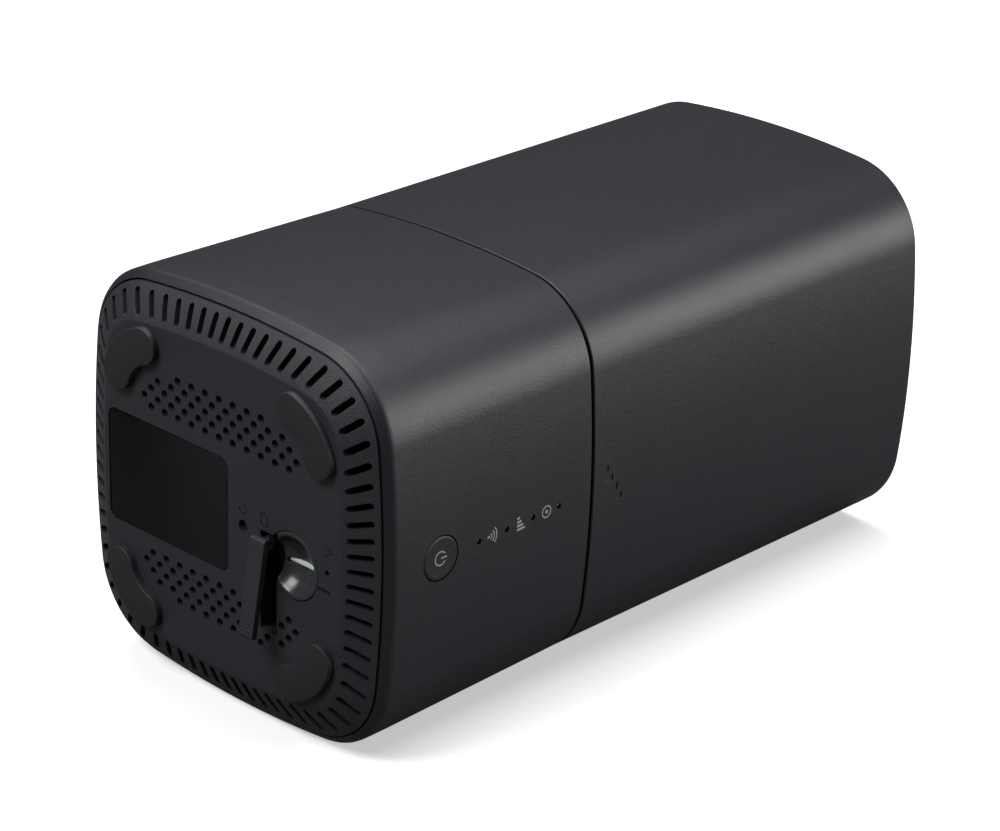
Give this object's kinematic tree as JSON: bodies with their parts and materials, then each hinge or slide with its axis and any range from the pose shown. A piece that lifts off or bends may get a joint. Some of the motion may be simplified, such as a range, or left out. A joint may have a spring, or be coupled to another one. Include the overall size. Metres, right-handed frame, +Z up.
{
  "type": "mobile hotspot",
  "caption": "Tower-shaped mobile hotspot lying on its side, with a slotted and vented base on rubber feet, a pulled-out card door, a power button and rear sockets.",
  "frame": {"origin": "on the side that the tower lies on, in the middle of the straight band behind the rim of the lower shell", "axes": "+X along the tower's axis from the base to the closed top, +Z up, -Y the front with the power button, +Y the rear with the sockets"},
  "size_m": [0.2114, 0.107, 0.107],
  "materials": {
    "shell": "fine satin texture",
    "button": "smooth satin",
    "base": "fine matt grain",
    "foot": "smooth matt rubber",
    "label": "blank satin label",
    "inner": "moulded black",
    "bezel": "polished grey",
    "card": "printed card",
    "tin": "tin plate",
    "screw": "zinc plated",
    "inlet": "moulded black",
    "board": "solder mask",
    "heat_sink": "extruded",
    "antenna": "laminate",
    "lens": "smoked"
  },
  "bodies": {
    "tower": {"upper_shell": "shell", "lower_shell": "shell", "base_cover": "base", "label_plate": "label", "seam_collar": "inner", "sim_bay": "inner", "chassis": "inner", "port_panel": "inner", "scoop_bezel": "bezel", "sim_socket": "tin", "reset_switch": "tin", "power_switch": "tin", "processor_shield": "tin", "modem_shield": "tin", "ethernet_jack_1": "tin", "ethernet_jack_2": "tin", "power_inlet": "inlet", "sim_board": "board", "front_board": "board", "main_board": "board", "heat_sink": "heat_sink", "top_antenna": "antenna", "foot_1": "foot", "base_screw_1": "screw", "light_lens_1": "lens", "antenna_1": "antenna", "foot_2": "foot", "base_screw_2": "screw", "light_lens_2": "lens", "antenna_2": "antenna", "foot_3": "foot", "base_screw_3": "screw", "light_lens_3": "lens", "antenna_3": "antenna", "foot_4": "foot", "base_screw_4": "screw", "light_lens_4": "lens", "antenna_4": "antenna"},
    "power_button": {"power_button": "button"},
    "reset_button": {"reset_button": "inner"},
    "door_strap": {"door_strap": "inner"},
    "sim_door": {"sim_door": "base"},
    "sim_card": {"sim_card": "card"}
  },
  "joints": [
    {"name": "power_button_press", "type": "slide", "parent": "tower", "child": "power_button", "axis": [0, 1, 0], "range_m": [0, 0.0006], "stiffness_N_per_m": 1500, "springref_m": -0.0006},
    {"name": "reset_button_press", "type": "slide", "parent": "tower", "child": "reset_button", "axis": [1, 0, 0], "range_m": [0, 0.0005], "stiffness_N_per_m": 1000, "springref_m": -0.0006},
    {"name": "door_strap_slide", "type": "slide", "parent": "tower", "child": "door_strap", "axis": [-1, 0, 0], "range_m": [-0.0038, 0.005]},
    {"name": "sim_door_tilt", "type": "hinge", "parent": "door_strap", "child": "sim_door", "pos_m": [-0.0123, -0.0174, 0.05248], "axis": [0, 1, 0], "range_deg": [-9.5, 8]},
    {"name": "sim_card_slide", "type": "slide", "parent": "tower", "child": "sim_card", "axis": [-1, 0, 0], "range_m": [-0.001, 0.012]}
  ]
}
